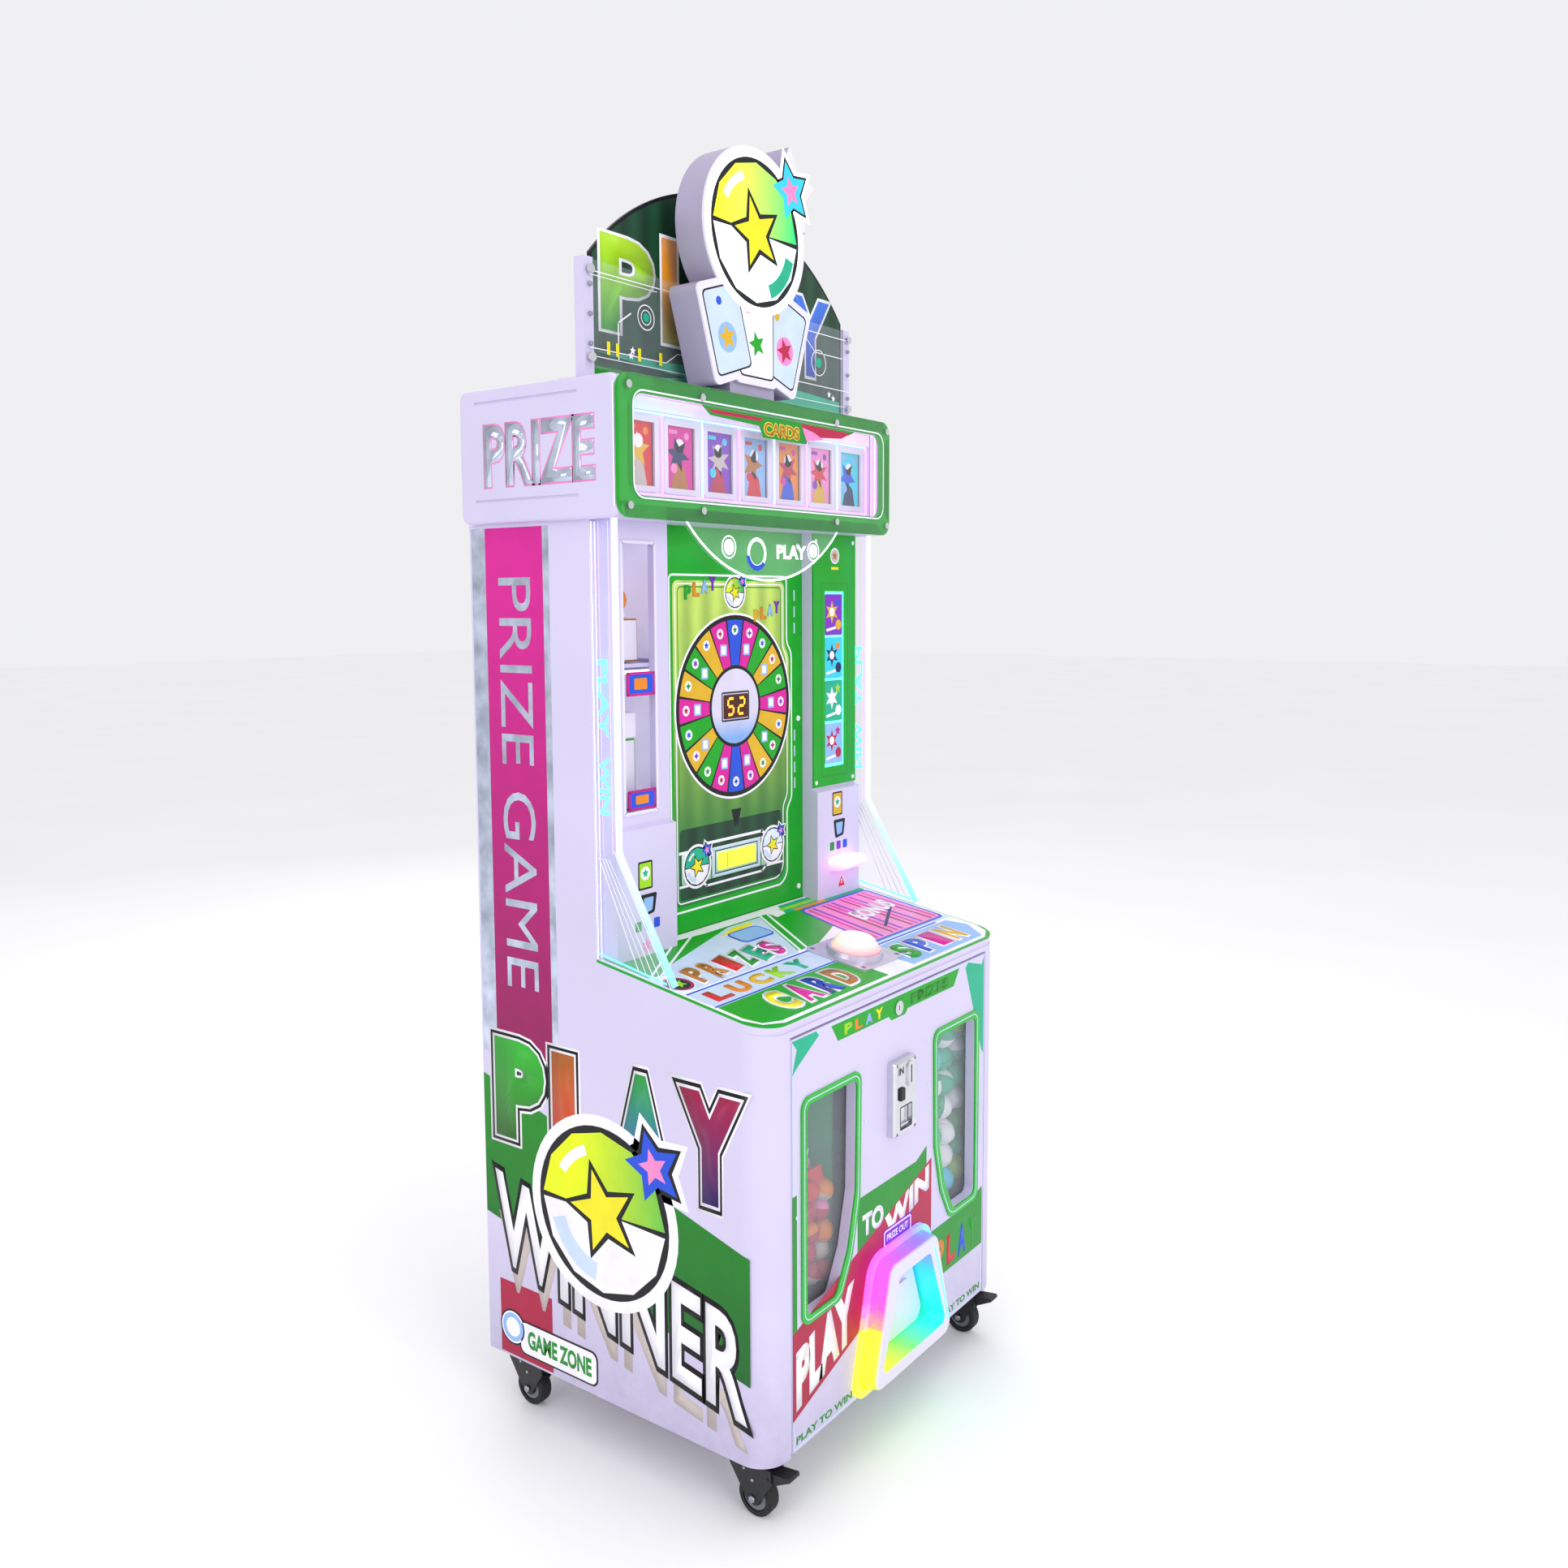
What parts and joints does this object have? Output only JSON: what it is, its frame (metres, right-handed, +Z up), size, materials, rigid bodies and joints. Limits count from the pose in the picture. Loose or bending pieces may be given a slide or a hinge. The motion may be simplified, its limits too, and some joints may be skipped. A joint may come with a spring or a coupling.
{
  "type": "push-button wheel prize machine",
  "caption": "Upright arcade cabinet with a push-button prize wheel, capsule hoppers, a card dispenser, a lit header and topper, on castors.",
  "frame": {"origin": "bottom centre of the machine's box, on the floor", "axes": "+Z up, -Y towards the player, -X on the player's left"},
  "size_m": [0.754, 0.644, 2.153],
  "materials": {
    "white_laminate": "satin white laminate on board",
    "raw_board": "matt white melamine",
    "printed_sheet": "printed acrylic sheet",
    "clear_acrylic": "polished clear acrylic",
    "green_trim": "gloss green",
    "chrome_plate": "polished chrome",
    "white_plastic": "moulded white",
    "black_plastic": "moulded black",
    "zinc_steel": "zinc plated",
    "grey_steel": "grey powder coat",
    "black_steel": "black powder coat",
    "wheel_rubber": "moulded rubber",
    "circuit_board": "green solder mask",
    "motor_case": "cast and turned",
    "disc_plastic": "moulded yellow",
    "light_diffuser": "lit diffuser",
    "dome_plastic": "lit translucent",
    "bright_ring": "polished ring",
    "lightbox_case": "satin painted sheet"
  },
  "bodies": {
    "cabinet": {"acrylic_bolts": "chrome_plate", "acrylic_sheets": "clear_acrylic", "back_panel": "raw_board", "base_board": "raw_board", "button_ring": "bright_ring", "capsule_hoppers": "clear_acrylic", "card_dispenser": "black_plastic", "card_mouth": "light_diffuser", "card_rack": "printed_sheet", "cash_box": "grey_steel", "castor_plates": "zinc_steel", "centre_board": "printed_sheet", "control_board": "circuit_board", "control_deck": "white_laminate", "deck_sheet": "printed_sheet", "feed_motors": "motor_case", "header_frame": "printed_sheet", "header_shell": "white_laminate", "hinge_pins": "zinc_steel", "left_column": "white_laminate", "light_display": "printed_sheet", "light_tubes": "light_diffuser", "lightbox_face": "printed_sheet", "lightbox_shell": "lightbox_case", "mains_inlet": "black_plastic", "number_displays": "black_plastic", "power_supply": "zinc_steel", "prize_chute": "zinc_steel", "right_column": "white_laminate", "side_panel_left": "white_laminate", "side_panel_right": "white_laminate", "side_wings": "clear_acrylic", "speakers": "black_plastic", "topper_arch": "printed_sheet", "topper_posts": "white_laminate"},
    "front_door": {"front_door": "white_laminate", "window_trims": "green_trim", "window_panes": "clear_acrylic", "coin_plate": "chrome_plate", "coin_validator": "black_plastic", "prize_bezel": "white_plastic"},
    "door_lock": {"door_lock": "chrome_plate"},
    "reject_button": {"reject_button": "black_plastic"},
    "return_flap": {"return_flap": "chrome_plate"},
    "prize_flap": {"prize_flap": "white_plastic"},
    "button_dome": {"button_dome": "dome_plastic"},
    "rear_door": {"rear_door": "raw_board"},
    "rear_lock": {"rear_lock": "chrome_plate"},
    "feed_disc_left": {"feed_disc_left": "disc_plastic"},
    "feed_disc_right": {"feed_disc_right": "disc_plastic"},
    "castor_fork_fl": {"castor_fork_fl": "black_steel"},
    "castor_wheel_fl": {"castor_wheel_fl": "wheel_rubber"},
    "castor_fork_fr": {"castor_fork_fr": "black_steel"},
    "castor_wheel_fr": {"castor_wheel_fr": "wheel_rubber"},
    "castor_fork_rl": {"castor_fork_rl": "black_steel"},
    "castor_wheel_rl": {"castor_wheel_rl": "wheel_rubber"},
    "castor_fork_rr": {"castor_fork_rr": "black_steel"},
    "castor_wheel_rr": {"castor_wheel_rr": "wheel_rubber"},
    "brake_pedal_left": {"brake_pedal_left": "black_plastic"},
    "brake_pedal_right": {"brake_pedal_right": "black_plastic"}
  },
  "joints": [
    {"name": "front_door_hinge", "type": "hinge", "parent": "cabinet", "child": "front_door", "pos_m": [-0.293, -0.277, 0.424], "axis": [0, 0, -1], "range_deg": [0, 95]},
    {"name": "door_lock_turn", "type": "hinge", "parent": "front_door", "child": "door_lock", "pos_m": [0, -0.277, 0.72], "axis": [0, -1, 0], "range_deg": [0, 90]},
    {"name": "reject_push", "type": "slide", "parent": "front_door", "child": "reject_button", "axis": [0, 1, 0], "range_m": [0, 0.003], "stiffness_N_per_m": 300, "springref_m": -0.002},
    {"name": "return_flap_hinge", "type": "hinge", "parent": "front_door", "child": "return_flap", "pos_m": [0, -0.294, 0.554], "axis": [1, 0, 0], "range_deg": [0, 50]},
    {"name": "prize_flap_hinge", "type": "hinge", "parent": "front_door", "child": "prize_flap", "pos_m": [0, -0.278, 0.28], "axis": [1, 0, 0], "range_deg": [0, 60]},
    {"name": "button_press", "type": "slide", "parent": "cabinet", "child": "button_dome", "axis": [0, 0.1563, -0.9877], "range_m": [0, 0.004], "stiffness_N_per_m": 900, "springref_m": -0.004},
    {"name": "rear_door_hinge", "type": "hinge", "parent": "cabinet", "child": "rear_door", "pos_m": [0.244, 0.316, 0.465], "axis": [0, 0, -1], "range_deg": [0, 95]},
    {"name": "rear_lock_turn", "type": "hinge", "parent": "rear_door", "child": "rear_lock", "pos_m": [-0.226, 0.316, 0.465], "axis": [0, -1, 0], "range_deg": [0, 90]},
    {"name": "feed_disc_left_turn", "type": "hinge", "parent": "cabinet", "child": "feed_disc_left", "pos_m": [-0.226, -0.148, 0.278], "axis": [0, 0, 1], "continuous": true},
    {"name": "feed_disc_right_turn", "type": "hinge", "parent": "cabinet", "child": "feed_disc_right", "pos_m": [0.226, -0.148, 0.278], "axis": [0, 0, 1], "continuous": true},
    {"name": "castor_swivel_fl", "type": "hinge", "parent": "cabinet", "child": "castor_fork_fl", "pos_m": [-0.32, -0.212, 0.0876], "axis": [0, 0, 1], "continuous": true},
    {"name": "castor_roll_fl", "type": "hinge", "parent": "castor_fork_fl", "child": "castor_wheel_fl", "pos_m": [-0.32, -0.236, 0.0315], "axis": [1, 0, 0], "continuous": true},
    {"name": "castor_swivel_fr", "type": "hinge", "parent": "cabinet", "child": "castor_fork_fr", "pos_m": [0.32, -0.212, 0.0876], "axis": [0, 0, 1], "continuous": true},
    {"name": "castor_roll_fr", "type": "hinge", "parent": "castor_fork_fr", "child": "castor_wheel_fr", "pos_m": [0.32, -0.236, 0.0315], "axis": [1, 0, 0], "continuous": true},
    {"name": "castor_swivel_rl", "type": "hinge", "parent": "cabinet", "child": "castor_fork_rl", "pos_m": [-0.32, 0.28, 0.0876], "axis": [0, 0, 1], "continuous": true},
    {"name": "castor_roll_rl", "type": "hinge", "parent": "castor_fork_rl", "child": "castor_wheel_rl", "pos_m": [-0.32, 0.256, 0.0315], "axis": [1, 0, 0], "continuous": true},
    {"name": "castor_swivel_rr", "type": "hinge", "parent": "cabinet", "child": "castor_fork_rr", "pos_m": [0.32, 0.28, 0.0876], "axis": [0, 0, 1], "continuous": true},
    {"name": "castor_roll_rr", "type": "hinge", "parent": "castor_fork_rr", "child": "castor_wheel_rr", "pos_m": [0.32, 0.256, 0.0315], "axis": [1, 0, 0], "continuous": true},
    {"name": "brake_pedal_left_press", "type": "hinge", "parent": "castor_fork_fl", "child": "brake_pedal_left", "pos_m": [-0.32, -0.264, 0.072], "axis": [1, 0, 0], "range_deg": [0, 15]},
    {"name": "brake_pedal_right_press", "type": "hinge", "parent": "castor_fork_fr", "child": "brake_pedal_right", "pos_m": [0.32, -0.264, 0.072], "axis": [1, 0, 0], "range_deg": [0, 15]}
  ]
}
